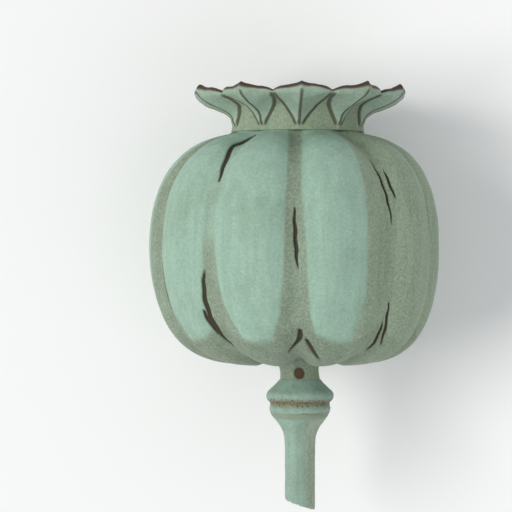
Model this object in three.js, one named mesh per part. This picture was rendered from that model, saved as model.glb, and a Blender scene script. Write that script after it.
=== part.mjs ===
// A poppy seed head lying on its side: a squat ribbed pod with a pointed stigma crown, on a short cut stalk.
// Millimetres, +Z up. The head's axis is level and runs along +Y, from the cut stalk to the crown.
// Heights along that axis are counted from the pod's widest ring.
import * as THREE from "three";
import { mergeVertices } from "three/addons/utils/BufferGeometryUtils.js";

// The pod, ten carpels grown together. They grew a little unevenly: this is where the furrow between each
// two of them lies, in degrees from the top.
const FURROW_DEGREES = [0, 41, 76, 110, 145, 180, 215, 250, 286, 321.5];
const POD_RADIUS = 25;
const POD_HALF_HEIGHT = 20.1;
// The section's powers, out from the axis and along it: 2 and 2 are an ellipse, and more is a fuller barrel
const SHOULDER_POWERS = { out: 3.8, along: 2.25 };
const BASE_POWERS = { out: 5, along: 1.95 };
const FURROW_DEPTH = 1.5;
const POD_LEAN = 1.0; // how far the belly swells to one side of the stalk
const LEAN_TOP = 26; // the lean has died away at this height, and at the foot's end
const FLAT_DEPTH = 0.3; // how much the two ribs underneath are pressed flat
const POD_FLOOR_RADIUS = 9; // the base is hollowed inside this radius, round the foot stalk
const FOOT_RADIUS = 3.4;
const FOOT_END = -22.3;

// The crown, a stigma disc on a short neck, with a lobe and a ray for each carpel at these degrees
const RAY_DEGREES = [0, 36.5, 69, 106, 143, 180, 216, 253, 290, 327];
const NECK_RADIUS = 11.4;
const NECK_START = 19.9;
const NOTCH_RADIUS = 16.9;
const NOTCH_HEIGHT = 26.3;
const TIP_RADIUS = 19.1;
const TIP_HEIGHT = 27.9;
const DISC_HEIGHT = 25.1;
const RAY_HEIGHT = 0.55;
const RAY_HALF_WIDTH = 0.95;

// The stalk and its receptacle
const STALK_RADIUS = 2.6;
const STALK_END = -44.1;
const CUT_SLANT = 0.34; // rise of the cut over its width
const CUT_REACH = 4; // how far up the shaft the slant is felt
const RING_RADIUS = 5.8;

// The parts grow together: this is the width of the seam left between two of them
const SEAM = 0.3;

// How finely each part is turned
const POD_STEPS_PER_CARPEL = 8;
const CROWN_STEPS_PER_CARPEL = 12;
const STALK_STEPS = 28;

const HALF_CARPEL = Math.PI / FURROW_DEGREES.length;

// The place of one step of a turned piece whose steps are shared out evenly among the furrows or rays: its
// angle, which of them is nearest, and how far away that is as a share of half a carpel, 0 to 1
function stepAmong(places, step, stepsPerCarpel) {
  const before = Math.floor(step / stepsPerCarpel);
  const along = step / stepsPerCarpel - before;
  const next = before + 1 < places.length ? places[before + 1] : 360;
  const degrees = THREE.MathUtils.lerp(places[before], next, along);
  return {
    angle: THREE.MathUtils.degToRad(degrees),
    nearest: along < 0.5 ? before : (before + 1) % places.length,
    share: 2 * Math.min(along, 1 - along),
  };
}

// Points along a smooth curve through a few hand-set ones, given as [radius, height]
function smoothProfile(points, count) {
  const curve = new THREE.SplineCurve(points.map(([r, h]) => new THREE.Vector2(r, h)));
  return curve.getPoints(count);
}

// Turns a profile about the +Y axis, then places every point by a rule on its ring of the profile and its
// step round the axis. Angle 0 is on top, facing +Z, and grows towards +X.
function turn(profile, steps, place) {
  const geometry = new THREE.LatheGeometry(profile, steps);
  const position = geometry.getAttribute("position");
  for (let i = 0; i < position.count; i++) {
    const ring = i % profile.length;
    const step = Math.floor(i / profile.length) % steps;
    const { radius, height, angle, aside = 0 } = place(ring, step);
    position.setXYZ(i, radius * Math.sin(angle) + aside, height, radius * Math.cos(angle));
  }
  geometry.deleteAttribute("normal");
  geometry.deleteAttribute("uv");
  return mergeVertices(geometry, 1e-3);
}

// The belly and the neck stand a little to one side of the stalk
function leanAt(height) {
  const end = height > 0 ? LEAN_TOP : FOOT_END;
  return -POD_LEAN * Math.max(0, 1 - (height / end) ** 2);
}

// A point of the pod's section, from its base at minus a quarter turn to its shoulder at plus a quarter turn
function barrelPoint(angle) {
  const { out, along } = angle < 0 ? BASE_POWERS : SHOULDER_POWERS;
  const height = POD_HALF_HEIGHT * Math.sign(angle) * Math.abs(Math.sin(angle)) ** (2 / along);
  return new THREE.Vector2(POD_RADIUS * Math.cos(angle) ** (2 / out), height);
}

function podProfile() {
  const edgeAngle = (radius, { out }) => Math.acos((radius / POD_RADIUS) ** (out / 2));
  const lowest = -edgeAngle(POD_FLOOR_RADIUS, BASE_POWERS);
  const highest = edgeAngle(NECK_RADIUS + 0.4, SHOULDER_POWERS);
  const barrelRings = 24;
  const barrel = [];
  for (let i = 0; i <= barrelRings; i++) {
    barrel.push(barrelPoint(lowest + ((highest - lowest) * i) / barrelRings));
  }
  const base = barrel[0];
  const foot = smoothProfile(
    [
      [FOOT_RADIUS, FOOT_END],
      [FOOT_RADIUS - 0.05, FOOT_END + 1.6],
      [FOOT_RADIUS + 0.7, base.y + 0.9],
      [FOOT_RADIUS + 3, base.y + 0.6],
      [base.x, base.y],
    ],
    7,
  );
  const plateau = new THREE.Vector2(NECK_RADIUS - 0.6, NECK_START - SEAM);
  const axis = (height) => new THREE.Vector2(0, height);
  return [axis(FOOT_END), ...foot, ...barrel.slice(1), plateau, axis(plateau.y)];
}

// How deep the furrow is at a share of half a carpel from its bottom: a narrow valley in a broad one
function furrow(share) {
  const wave = Math.cos((share * Math.PI) / 2);
  return 0.7 * wave ** 6 + 0.3 * wave ** 2;
}

function makeCapsule() {
  const profile = podProfile();
  const slope = profile.map((point, i) => {
    const before = profile[Math.max(i - 1, 0)];
    const after = profile[Math.min(i + 1, profile.length - 1)];
    return new THREE.Vector2().subVectors(after, before).normalize();
  });
  // The furrows run out on the foot stalk and at the neck
  const strength = profile.map(({ x, y }) => {
    const fromFoot = THREE.MathUtils.smoothstep(x, FOOT_RADIUS, POD_FLOOR_RADIUS);
    const fromNeck = y > 0 ? THREE.MathUtils.smoothstep(x, NECK_RADIUS - 3, NECK_RADIUS + 5) : 1;
    return Math.min(fromFoot, fromNeck);
  });
  const geometry = turn(profile, FURROW_DEGREES.length * POD_STEPS_PER_CARPEL, (ring, step) => {
    const { angle, share } = stepAmong(FURROW_DEGREES, step, POD_STEPS_PER_CARPEL);
    const { x, y } = profile[ring];
    const depth = FURROW_DEPTH * strength[ring] * furrow(share);
    return {
      angle,
      radius: x - depth * slope[ring].y,
      height: y + depth * slope[ring].x,
      aside: leanAt(y),
    };
  });
  return pressFlat(geometry);
}

// The two ribs underneath rest on the surface, and are pressed flat where they touch it
function pressFlat(geometry) {
  const position = geometry.getAttribute("position");
  geometry.computeBoundingBox();
  const level = geometry.boundingBox.min.z + FLAT_DEPTH;
  for (let i = 0; i < position.count; i++) {
    position.setZ(i, Math.max(position.getZ(i), level));
  }
  geometry.computeBoundingBox();
  return geometry;
}

// Outline of a lobe's free edge: 1 at its point and 0 at the notch, with full shoulders and a sharp point
function lobeEdge(share) {
  return 0.5 * (1 - share ** 5) + 0.5 * (1 - share) ** 4;
}

// A lobe's point leans out and up a little more or less than the next one's
function lobeReach(lobe) {
  return 0.35 * Math.sin(2.4 * lobe + 0.6);
}

// The crown's section is drawn twice, ring for ring: in the notch between two lobes, and along a lobe's keel.
// The third number is how far round from the keel its two faces reach, as a share of half a carpel.
function crownRings() {
  const neck = NECK_RADIUS;
  const notch = { r: NOTCH_RADIUS, h: NOTCH_HEIGHT };
  const tip = { r: TIP_RADIUS, h: TIP_HEIGHT };
  return [
    { valley: [neck, NECK_START], keel: [neck, NECK_START], reach: 0.1 },
    { valley: [neck - 0.1, NECK_START + 0.8], keel: [neck + 0.1, NECK_START + 0.8], reach: 0.12 },
    { valley: [neck - 0.1, 21.7], keel: [neck + 0.5, 21.6], reach: 0.25 },
    { valley: [neck, 22.5], keel: [neck + 1.0, 22.4], reach: 0.4 },
    { valley: [neck + 0.3, 23.3], keel: [13.6, 23.2], reach: 0.56 },
    { valley: [12.4, 24.2], keel: [15.7, 24.2], reach: 0.74 },
    { valley: [14.3, 25.0], keel: [17.5, 25.2], reach: 0.9 },
    { valley: [notch.r - 0.6, notch.h - 0.7], keel: [tip.r - 0.3, tip.h - 1.6], reach: 1 },
    { valley: [notch.r, notch.h - 0.3], keel: [tip.r, tip.h - 0.8], reach: 1 },
    { valley: [notch.r - 0.4, notch.h], keel: [tip.r - 0.7, tip.h], reach: 1 },
    { valley: [notch.r - 1.7, notch.h - 0.2], keel: [tip.r - 2.0, tip.h - 1.1], reach: 1 },
    { valley: [12.8, 25.7], keel: [14.4, 26.0], reach: 1 },
    { valley: [9.4, 25.4], keel: [10.2, 25.5], reach: 1 },
    { valley: [5.5, DISC_HEIGHT + 0.1], keel: [5.9, DISC_HEIGHT + 0.1], reach: 1 },
    { valley: [2.0, DISC_HEIGHT], keel: [2.0, DISC_HEIGHT], reach: 1 },
  ];
}

function makeCrown() {
  const rings = crownRings();
  const edgeFrom = 7; // rings from here to edgeTo follow the lobes' free edge
  const edgeTo = 10;
  const raysFrom = 10; // rings from here inwards carry the rays
  const atAxis = (height) => ({ valley: [0, height], keel: [0, height], reach: 1 });
  const section = [atAxis(NECK_START), ...rings, atAxis(DISC_HEIGHT + RAY_HEIGHT)];
  const profile = section.map(({ valley }) => new THREE.Vector2(...valley));
  return turn(profile, RAY_DEGREES.length * CROWN_STEPS_PER_CARPEL, (place, step) => {
    const { angle, nearest, share } = stepAmong(RAY_DEGREES, step, CROWN_STEPS_PER_CARPEL);
    const { valley, keel, reach } = section[place];
    const ring = place - 1;
    const onEdge = ring >= edgeFrom && ring <= edgeTo;
    const weight = onEdge ? lobeEdge(share) : Math.max(0, 1 - share / reach);
    const radius = THREE.MathUtils.lerp(valley[0], keel[0], weight);
    const across = radius * share * HALF_CARPEL;
    const rayEdge = Math.max(0, 1 - across / RAY_HALF_WIDTH);
    const ray = ring >= raysFrom && ring < rings.length ? RAY_HEIGHT * rayEdge : 0;
    const lift = onEdge ? lobeReach(nearest) * weight : 0;
    const height = THREE.MathUtils.lerp(valley[1], keel[1], weight) + ray + 0.5 * lift;
    return { angle, radius: radius + lift, height, aside: leanAt(height) };
  });
}

// The stalk: cut end, even shaft, flare, two rings of flower scars and the cone under the pod's foot
function stemProfile() {
  const shaft = smoothProfile(
    [
      [STALK_RADIUS - 0.15, STALK_END],
      [STALK_RADIUS, STALK_END + 0.6],
      [STALK_RADIUS, STALK_END + 6],
      [STALK_RADIUS + 0.15, -32.6],
      [3.3, -30.9],
      [4.3, -29.5],
      [4.9, -28.7],
    ],
    13,
  );
  const rings = smoothProfile(
    [
      [5.15, -28.0],
      [5.25, -27.3],
      [5.15, -26.8],
      [5.45, -26.2],
      [RING_RADIUS, -25.4],
      [RING_RADIUS - 0.2, -24.7],
    ],
    10,
  );
  const cone = smoothProfile(
    [
      [5.05, -24.1],
      [4.2, -23.3],
      [FOOT_RADIUS + 0.1, FOOT_END - SEAM],
    ],
    4,
  );
  const axis = (height) => new THREE.Vector2(0, height);
  return [axis(STALK_END), ...shaft, ...rings, ...cone, axis(FOOT_END - SEAM)];
}

function makeStem() {
  const profile = stemProfile();
  return turn(profile, STALK_STEPS, (ring, step) => {
    const angle = (2 * Math.PI * step) / STALK_STEPS;
    const { x, y } = profile[ring];
    const slant = CUT_SLANT * Math.max(0, 1 - (y - STALK_END) / CUT_REACH);
    return { angle, radius: x, height: y - slant * x * Math.sin(angle) };
  });
}

const glaucous = new THREE.MeshStandardMaterial({ color: 0x9cb8a7, roughness: 0.62, metalness: 0 });
const shadedGreen = new THREE.MeshStandardMaterial({ color: 0x82998a, roughness: 0.7, metalness: 0 });
const stalkGreen = new THREE.MeshStandardMaterial({ color: 0x98b4a3, roughness: 0.6, metalness: 0 });

const seedHead = new THREE.Group();
for (const [name, geometry, material] of [
  ["capsule", makeCapsule(), glaucous],
  ["crown", makeCrown(), shadedGreen],
  ["stem", makeStem(), stalkGreen],
]) {
  const mesh = new THREE.Mesh(geometry, material);
  mesh.name = name;
  seedHead.add(mesh);
}

// The origin is on the surface that the head lies on, under the middle of its bounding box
const bounds = new THREE.Box3().setFromObject(seedHead);
const middle = bounds.getCenter(new THREE.Vector3());
seedHead.position.set(-middle.x, -middle.y, -bounds.min.z);

export default seedHead;
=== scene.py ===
# %% [markdown]
# # A poppy seed head, from the frame up
# The head is a squat, ribbed pod on a cut stalk, with a pointed crown. It lies on its side, and the camera
# looks straight down on it. The imported model gives every place and size, so the script first loads that
# frame.

# %% Load the frame
import math

import bmesh
import bpy
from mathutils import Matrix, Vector


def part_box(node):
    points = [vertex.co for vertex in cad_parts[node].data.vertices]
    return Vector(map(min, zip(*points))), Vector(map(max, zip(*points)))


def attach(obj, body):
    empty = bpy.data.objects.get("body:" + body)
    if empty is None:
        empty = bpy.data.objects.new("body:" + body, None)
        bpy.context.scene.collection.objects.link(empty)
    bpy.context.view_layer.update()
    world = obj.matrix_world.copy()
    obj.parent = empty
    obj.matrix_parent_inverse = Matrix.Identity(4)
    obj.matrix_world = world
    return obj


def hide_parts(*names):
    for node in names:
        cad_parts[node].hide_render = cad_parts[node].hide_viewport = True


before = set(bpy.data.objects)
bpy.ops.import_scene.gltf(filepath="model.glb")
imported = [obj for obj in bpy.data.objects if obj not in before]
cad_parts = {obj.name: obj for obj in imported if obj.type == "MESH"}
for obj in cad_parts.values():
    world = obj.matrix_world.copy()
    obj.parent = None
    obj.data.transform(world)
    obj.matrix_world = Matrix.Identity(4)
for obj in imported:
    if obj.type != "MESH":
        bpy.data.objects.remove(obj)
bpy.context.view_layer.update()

MM = 0.001
stem_low, stem_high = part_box("stem")
FOOT_END = -22.3 * MM  # heights along the axis are counted from the pod's widest ring
SEAM = 0.3 * MM  # the frame leaves this much between two of its solids
AXIS_X = (stem_low.x + stem_high.x) / 2
AXIS_Z = (stem_low.z + stem_high.z) / 2
BELLY_Y = stem_high.y - FOOT_END + SEAM
print("axis at", [round(v / MM, 2) for v in (AXIS_X, BELLY_Y, AXIS_Z)], "mm")

# %% [markdown]
# ## The camera
# The photograph looks at the head from the side, level with it. The head lies down here, so the camera hangs
# over it and looks straight down. A long lens from half a metre keeps the ribs at the edge from hiding, as
# a drawing does. The frame's width comes from the pod, whose 50 mm fill 291 of the picture's 512 pixels.

# %% Camera
PICTURE_PIXELS = 512
POD_PIXELS = 291
POD_WIDTH = 50 * MM
PICTURE_WIDTH = PICTURE_PIXELS * POD_WIDTH / POD_PIXELS
LENS = 200  # on a 36 mm sensor, so in millimetres
SENSOR = 36
AXIS_PIXEL = 300  # the stalk's axis in the picture, from its left edge
BELLY_PIXEL = 248  # the pod's widest ring in the picture, from its top edge

camera_data = bpy.data.cameras.new("camera")
camera = bpy.data.objects.new("camera", camera_data)
bpy.context.scene.collection.objects.link(camera)
bpy.context.scene.camera = camera
camera_data.lens = LENS
camera_data.sensor_width = SENSOR
pixel = PICTURE_WIDTH / PICTURE_PIXELS
distance = PICTURE_WIDTH * LENS / SENSOR
camera.location = (
    AXIS_X + (PICTURE_PIXELS / 2 - AXIS_PIXEL) * pixel,
    BELLY_Y + (BELLY_PIXEL - PICTURE_PIXELS / 2) * pixel,
    AXIS_Z + distance,
)
print("one pixel is", round(pixel / MM, 4), "mm, seen from", round(distance, 3), "m")

# %% [markdown]
# ## Light and floor
# The studio is a pale floor under two wide soft lamps and a pale sky. The drawing is lit from the left, and
# its right side is in shade, so the lamp on the left is the strong one. The lamps are suns with a wide
# face, because these light the whole floor alike. Colours are shown plainly, or the pale green would go grey.

# %% Floor, lamps and world
bpy.ops.mesh.primitive_plane_add(size=4, location=(0, 0, 0))
floor = bpy.context.object
floor.name = "floor"
floor_paint = bpy.data.materials.new("pale_floor")
floor_paint.use_nodes = True
floor_shader = floor_paint.node_tree.nodes["Principled BSDF"]
floor_shader.inputs["Base Color"].default_value = (0.93, 0.93, 0.92, 1)
floor_shader.inputs["Roughness"].default_value = 0.9
floor.data.materials.append(floor_paint)


def lamp(name, side, strength, softness, tint):
    """A wide lamp, far away on the given side of the head. Its softness is how wide it looks, in degrees."""
    data = bpy.data.lights.new(name, "SUN")
    data.angle = math.radians(softness)
    data.energy = strength
    data.color = tint
    light = bpy.data.objects.new(name, data)
    bpy.context.scene.collection.objects.link(light)
    light.location = Vector(side) * 0.5
    light.rotation_euler = Vector(side).to_track_quat("Z", "Y").to_euler()


lamp("key", side=(-0.66, 0.0, 0.75), strength=1.75, softness=30, tint=(1.0, 0.99, 0.97))
lamp("fill", side=(0.45, -0.55, 0.70), strength=0.36, softness=60, tint=(0.95, 0.97, 1.0))
world = bpy.data.worlds.new("studio")
world.use_nodes = True
sky = world.node_tree.nodes["Background"]
sky.inputs["Color"].default_value = (0.95, 0.97, 1.0, 1)
sky.inputs["Strength"].default_value = 0.55
bpy.context.scene.world = world
bpy.context.scene.view_settings.view_transform = "Standard"

# %% [markdown]
# ## Ten carpels
# The head grew from ten carpels side by side. Each left a broad rib on the pod, with a furrow on either side,
# and a lobe with a ray on the crown. They grew a little unequally, so the furrows and the rays stand at
# uneven places, which are the frame's. Angles are counted from the top of the lying head towards +X.

# %% Places round the axis
FURROW_DEGREES = [0, 41, 76, 110, 145, 180, 215, 250, 286, 321.5]
RAY_DEGREES = [0, 36.5, 69, 106, 143, 180, 216, 253, 290, 327]
CARPELS = len(FURROW_DEGREES)
CARPEL = 2 * math.pi / CARPELS


def angle_of(place):
    """The angle round the axis, from the top towards the right."""
    return math.atan2(place.x, place.z)


def degrees_of(place):
    """The same angle in degrees, from 0 to 360."""
    return math.degrees(angle_of(place)) % 360


def radius_of(place):
    """How far a place is from the axis."""
    return math.hypot(place.x, place.z)


print(CARPELS, "carpels of about", round(math.degrees(CARPEL)), "degrees")

# %% [markdown]
# ## Choosing a piece
# The work is done as by hand: a piece is chosen, opened in edit mode, changed and closed again. A wrong piece
# that is left chosen would be changed too, so everything else is dropped each time.

# %% Choose and open
def deselect_all():
    """Leaves edit mode and drops every choice."""
    if bpy.context.object and bpy.context.object.mode != "OBJECT":
        bpy.ops.object.mode_set(mode="OBJECT")
    bpy.ops.object.select_all(action="DESELECT")


def choose(piece):
    """Makes one piece the only chosen one."""
    deselect_all()
    piece.select_set(True)
    bpy.context.view_layer.objects.active = piece


def edit(piece):
    """Opens one piece, and nothing else, in edit mode."""
    choose(piece)
    bpy.ops.object.mode_set(mode="EDIT")

# %% [markdown]
# ## Turned pieces
# Everything on the head grew round one axis, so every piece starts as an outline of half its section, drawn
# vertex by vertex, and is turned round that axis. The pieces are made with the axis on the world's own Y
# axis, where turning is easy, and moved to their place in the frame when they are done.

# %% Draw an outline and turn it
GAP = 0.004 * MM  # vertices nearer to each other than this are one


def outline(name, points, turned=0.0):
    """A chain of vertices through [radius, height] points, in the half plane at an angle from the top."""
    def place(radius, height):
        return Vector((radius * math.sin(turned), height, radius * math.cos(turned)))

    deselect_all()
    bpy.ops.mesh.primitive_plane_add(size=MM, location=(0, 0, 0))
    piece = bpy.context.object
    piece.name = name
    piece.data.name = name
    bpy.ops.object.mode_set(mode="EDIT")
    bpy.ops.mesh.select_all(action="SELECT")
    bpy.ops.mesh.merge(type="CENTER")
    here = place(*points[0])
    bpy.ops.transform.translate(value=here)
    for point in points[1:]:
        there = place(*point)
        bpy.ops.mesh.extrude_region_move(TRANSFORM_OT_translate={"value": there - here})
        here = there
    bpy.ops.mesh.select_all(action="SELECT")
    return piece


def spin(angle, steps):
    """Turns what is chosen round the axis."""
    bpy.ops.mesh.spin(steps=steps, angle=angle, center=(0, 0, 0), axis=(0, 1, 0))


def clean(piece):
    """Merges doubles, turns the faces outwards and leaves edit mode."""
    edit(piece)
    bpy.ops.mesh.select_all(action="SELECT")
    bpy.ops.mesh.remove_doubles(threshold=GAP)
    bpy.ops.mesh.normals_make_consistent(inside=False)
    bpy.ops.object.mode_set(mode="OBJECT")


def in_mm(points):
    """Points of an outline that are given in mm."""
    return [(radius * MM, height * MM) for radius, height in points]


def curve_through(points, steps):
    """Points along a smooth curve through a few hand-set ones, both ends included."""
    path = []
    for i in range(len(points) - 1):
        before = Vector(points[max(i - 1, 0)])
        start, end = Vector(points[i]), Vector(points[i + 1])
        after = Vector(points[min(i + 2, len(points) - 1)])
        for k in range(steps):
            t = k / steps
            path.append(
                0.5
                * (
                    2 * start
                    + (end - before) * t
                    + (2 * before - 5 * start + 4 * end - after) * t**2
                    + (3 * start - before - 3 * end + after) * t**3
                )
            )
    return [tuple(p) for p in path] + [tuple(points[-1])]

# %% [markdown]
# ## The pod's outline
# The pod is a barrel with a full, flat shoulder and a squarer base, which is hollowed a little round the
# foot stalk. A squashed ellipse with two powers draws such a section, so only its sizes have to be given,
# and they are the frame's. The outline starts in the foot stalk and ends under the crown's neck.

# %% Pod outline
POD_RADIUS = 24.92 * MM  # its unevenness adds the last of the 50 mm
POD_HALF_HEIGHT = 20.1 * MM
SHOULDER = {"out": 3.8, "along": 2.25}
BASE = {"out": 5, "along": 1.95}
FLOOR_RADIUS = 9 * MM
FOOT_RADIUS = 3.4 * MM
NECK_RADIUS = 11.4 * MM
NECK_START = 19.9 * MM
BARREL_RINGS = 84


def barrel(angle):
    """Radius and height of the wall, for angles from a quarter turn below its widest ring to one above."""
    powers = BASE if angle < 0 else SHOULDER
    height = POD_HALF_HEIGHT * math.copysign(abs(math.sin(angle)) ** (2 / powers["along"]), angle)
    return POD_RADIUS * math.cos(angle) ** (2 / powers["out"]), height


def edge_angle(radius, powers):
    """The angle at which the wall comes in to this radius."""
    return math.acos((radius / POD_RADIUS) ** (powers["out"] / 2))


lowest = -edge_angle(FLOOR_RADIUS, BASE)
highest = edge_angle(NECK_RADIUS + 0.4 * MM, SHOULDER)
walls = [barrel(lowest + (highest - lowest) * i / BARREL_RINGS) for i in range(BARREL_RINGS + 1)]
floor_height = walls[0][1]
foot = curve_through(
    [
        (FOOT_RADIUS, FOOT_END - SEAM),
        (FOOT_RADIUS - 0.05 * MM, FOOT_END + 1.6 * MM),
        (FOOT_RADIUS + 0.7 * MM, floor_height + 0.9 * MM),
        (FOOT_RADIUS + 3.0 * MM, floor_height + 0.6 * MM),
        walls[0],
    ],
    6,
)
under_neck = [
    (NECK_RADIUS + 0.1 * MM, NECK_START - 0.15 * MM),
    (NECK_RADIUS - 0.7 * MM, NECK_START + 0.2 * MM),
    (0, NECK_START + 0.2 * MM),
]
pod_section = [(0, FOOT_END - SEAM)] + foot + walls[1:] + under_neck
print("the pod's outline has", len(pod_section), "points")

# %% [markdown]
# ## Turning one rib
# The whole ring could be turned at once, but then no furrow could be made unlike the next. So only one sector
# is turned here, from the crest of one rib over a furrow to the next crest. The outline is spun in three
# goes, with finer steps over the furrow, because that is where the surface bends and creases.

# %% One sector of the pod
COARSE = math.radians(6)
FINE = CARPEL - 2 * COARSE
COARSE_STEPS = 4
FINE_STEPS = 60

pod = outline("pod", pod_section, turned=CARPEL / 2)
spin(COARSE, COARSE_STEPS)
spin(FINE, FINE_STEPS)
spin(COARSE, COARSE_STEPS)
clean(pod)
print("one sector has", len(pod.data.polygons), "faces")

# %% [markdown]
# ## Weights and pushes
# A dent, a ridge or a swelling is first painted on the piece as vertex weights, by a rule on each vertex's
# place, and then a Displace modifier moves the surface by those weights. The same rules can dye the surface,
# so that a colour lies exactly where the form does.

# %% Weigh, push and dye
def smoothstep(value, low, high):
    """0 up to low and 1 from high on, with a soft rise between."""
    t = min(max((value - low) / (high - low), 0.0), 1.0)
    return t * t * (3 - 2 * t)


def plateau(value, rise, fall):
    """1 from the end of the rise to the start of the fall, and 0 before and after."""
    return smoothstep(value, *rise) * (1 - smoothstep(value, *fall))


def weigh(piece, name, rule):
    """Paints a vertex group with weights that follow a rule on each vertex's place."""
    old = piece.vertex_groups.get(name)
    if old:
        piece.vertex_groups.remove(old)
    group = piece.vertex_groups.new(name=name)
    for vertex in piece.data.vertices:
        weight = rule(vertex.co)
        if weight > 0:
            group.add([vertex.index], min(weight, 1.0), "REPLACE")


def push(piece, distance, group="", direction="NORMAL", texture=None):
    """Moves the surface by a Displace modifier, and applies it."""
    if distance == 0:
        return
    choose(piece)
    press = piece.modifiers.new("push", "DISPLACE")
    press.strength = distance
    press.mid_level = 0.5 if texture else 0.0
    press.direction = direction
    press.vertex_group = group
    press.texture = texture
    press.texture_coords = "LOCAL"
    bpy.ops.object.modifier_apply(modifier=press.name)


def dye(piece, name, rule):
    """Writes a rule on each vertex's place as an attribute that a material can read."""
    values = piece.data.attributes.get(name) or piece.data.attributes.new(name, "FLOAT", "POINT")
    for vertex in piece.data.vertices:
        values.data[vertex.index].value = rule(vertex.co)


def cloud(name, size, depth=2):
    """A soft noise for the Displace modifier, with lumps of about this size."""
    texture = bpy.data.textures.new(name, "CLOUDS")
    texture.noise_scale = size
    texture.noise_depth = depth
    return texture

# %% [markdown]
# ## Pressing the furrow
# A furrow could be carved stroke by stroke, but its section is the same all along, so one rule gives its
# weights: a narrow valley in a broad one, which runs out on the foot stalk and under the neck. It is only
# pressed in when the sectors are copied, because no two furrows are equally deep.

# %% Furrow
FURROW_DEPTH = 1.5 * MM


def share_from_furrow(angle):
    """How far an angle is from the nearest furrow: 0 on it and 1 on the crest of a rib."""
    turned = abs(angle) % CARPEL
    return min(turned, CARPEL - turned) / (CARPEL / 2)


def furrow_section(share):
    """Depth across a furrow: 1 at its bottom and 0 on the crest of a rib."""
    wave = math.cos(share * math.pi / 2)
    return 0.7 * wave**6 + 0.3 * wave**2


def furrow_reach(radius, height):
    """1 along the pod, and 0 on the foot and at the neck."""
    from_foot = smoothstep(radius, FOOT_RADIUS, FLOOR_RADIUS)
    from_neck = smoothstep(radius, NECK_RADIUS - 3 * MM, NECK_RADIUS + 5 * MM) if height > 0 else 1
    return min(from_foot, from_neck)


def furrow_weight(place):
    """How deep the furrow is at a place, as a share of its full depth."""
    reach = furrow_reach(radius_of(place), place.y)
    return reach * furrow_section(share_from_furrow(angle_of(place)))


weigh(pod, "furrow", furrow_weight)
print("furrows about", FURROW_DEPTH / MM, "mm deep")

# %% [markdown]
# ## Green bands and painted shade
# The bloom is thick on the ribs and leaves a green band along each furrow, which is wider on the base. The
# bands also carry painted shade, and the whole base is painted as shade. The three bands that the picture
# shows are given by how far they reach to either side at a few heights, and the hidden ones share one table.
# Each is a mask for the colours, and no form.

# %% Bands along the furrows
# Height along the axis, and how far a band reaches to the left and to the right, mm
BAND = [(-14, 4.2, 4.2), (-9, 2.6, 2.6), (0, 1.85, 1.85), (8, 1.5, 1.5), (17, 1.3, 1.3)]
# The bands that the picture shows: the middle one, and the two to its left
SHOWN_BANDS = {
    0: [(-14, 3.8, 2.4), (-11, 2.7, 1.9), (0, 1.9, 1.55), (10, 1.75, 0.7), (17, 1.6, 0.6)],
    8: [(-14, 6.0, 5.2), (-9, 5.0, 3.6), (0, 4.5, 3.2), (8, 4.0, 2.8), (17, 2.6, 1.8)],
    9: [(-14, 1.7, 4.2), (-9, 1.4, 2.6), (0, 0.95, 1.85), (8, 0.9, 1.5), (17, 0.8, 1.3)],
}
BAND_BLUR = 0.35
FADED_BAND = 9  # this one all but ends half-way up
FADE = 0.75
FADE_HEIGHTS = (-1, 4)
# Painted shade: the base below these heights is painted as shade.
BASE_SHADE = (-16.6, -14.7)  # the whole base is green below these heights, mm
BASE_RISE = 2.2  # and so much higher beside the furrows


def band_reach(height, side, table):
    """How far a band reaches to one side, 1 for left and 2 for right, at a height."""
    for low, high in zip(table, table[1:]):
        if height < high[0]:
            along = max(0.0, (height - low[0]) / (high[0] - low[0]))
            return low[side] + (high[side] - low[side]) * along
    return table[-1][side]


def base_shade(place):
    """1 on the base, where shade is painted. It reaches higher beside the furrows, which rounds the bloom's
    lower corners.
    """
    from_furrow = share_from_furrow(angle_of(place))
    return 1 - smoothstep(place.y / MM - BASE_RISE * (1 - from_furrow) ** 2, *BASE_SHADE)


def band_weight(place, k):
    """1 in a furrow's green band, which is partly painted shade, and on the base, which is painted shade, and
    0 on the ribs.
    """
    height = place.y / MM
    across = radius_of(place) * angle_of(place) / MM
    reach = band_reach(height, 2 if across > 0 else 1, SHOWN_BANDS.get(k, BAND))
    band = 1 - smoothstep(abs(across), reach - BAND_BLUR, reach + BAND_BLUR)
    if k == FADED_BAND:
        band *= 1 - FADE * smoothstep(height, *FADE_HEIGHTS)
    return 1 - (1 - band) * (1 - base_shade(place))


print(len(SHOWN_BANDS), "bands as drawn, and", CARPELS - len(SHOWN_BANDS), "hidden ones")

# %% [markdown]
# ## Creases
# Where two carpels meet, the skin is drawn into fine dark creases, which wander, stop and start again. Each
# is a short stroke along the furrow, given by where it starts and ends and how far to the side it lies. The
# furrows on top have the strokes that the picture shows, and the hidden ones have strokes of the same kind.

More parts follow.
